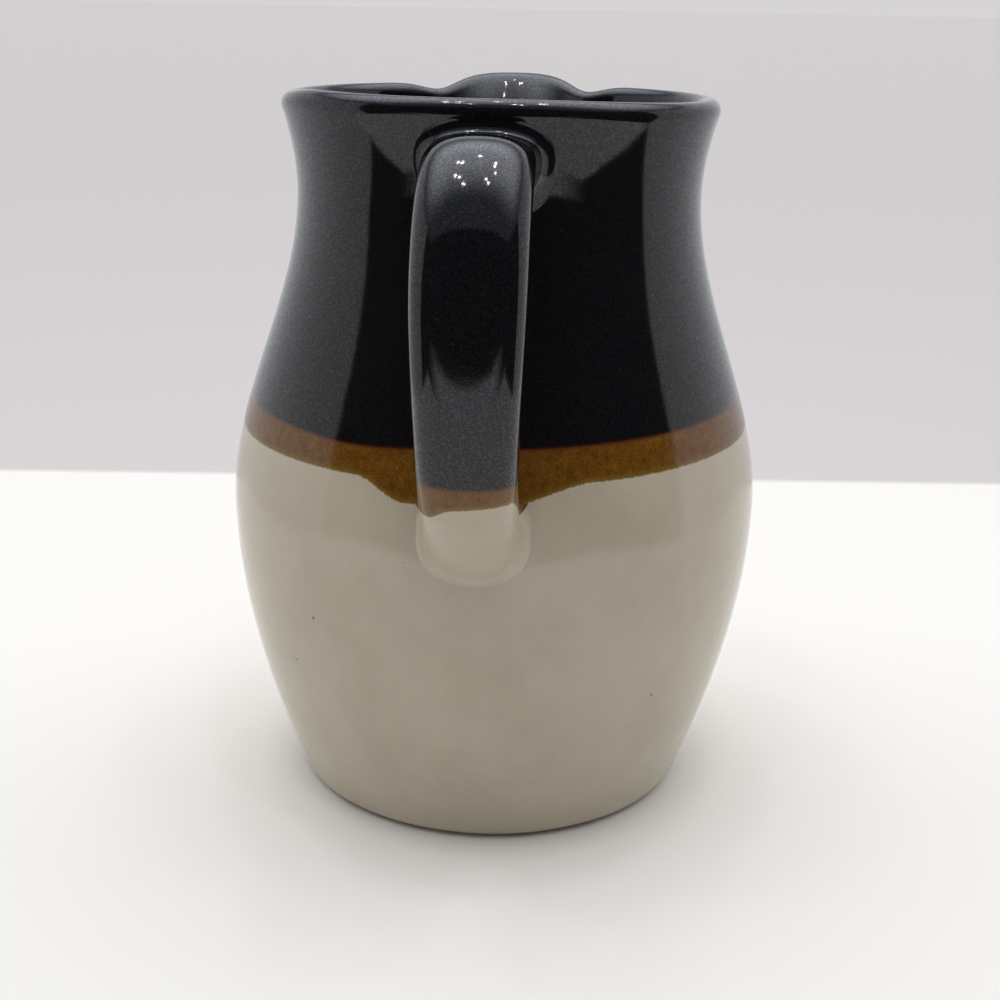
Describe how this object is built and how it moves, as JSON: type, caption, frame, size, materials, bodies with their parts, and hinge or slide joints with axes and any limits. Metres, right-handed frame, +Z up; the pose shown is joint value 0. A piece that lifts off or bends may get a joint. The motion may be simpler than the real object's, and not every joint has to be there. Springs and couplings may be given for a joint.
{
  "type": "stoneware pitcher",
  "caption": "Round-bellied stoneware pitcher with a pulled spout and a luted strap handle, glazed black above and inside, cream below, with an amber band between the dips.",
  "frame": {"origin": "centre of the flat base, on the surface that the pitcher stands on", "axes": "+Z up along the axis of the turned body, +X towards the spout, -X towards the handle"},
  "size_m": [0.1719, 0.1452, 0.1927],
  "materials": {
    "clay": "bare fired stoneware, matt",
    "slip": "bare fired slip, matt",
    "cream_glaze": "glossy cream glaze with fine iron specks",
    "amber_glaze": "glossy mottled amber-brown glaze",
    "dark_glaze": "glossy black glaze",
    "liner_glaze": "glossy brown-black liner glaze"
  },
  "bodies": {
    "root": {"clay_body": "clay", "clay_handle": "clay", "upper_luting_bead": "slip", "lower_luting_bead": "slip", "cream_glaze": "cream_glaze", "amber_glaze": "amber_glaze", "dark_glaze": "dark_glaze", "liner_glaze": "liner_glaze", "handle_dark_glaze": "dark_glaze", "handle_amber_glaze": "amber_glaze", "handle_cream_glaze": "cream_glaze"}
  },
  "joints": []
}
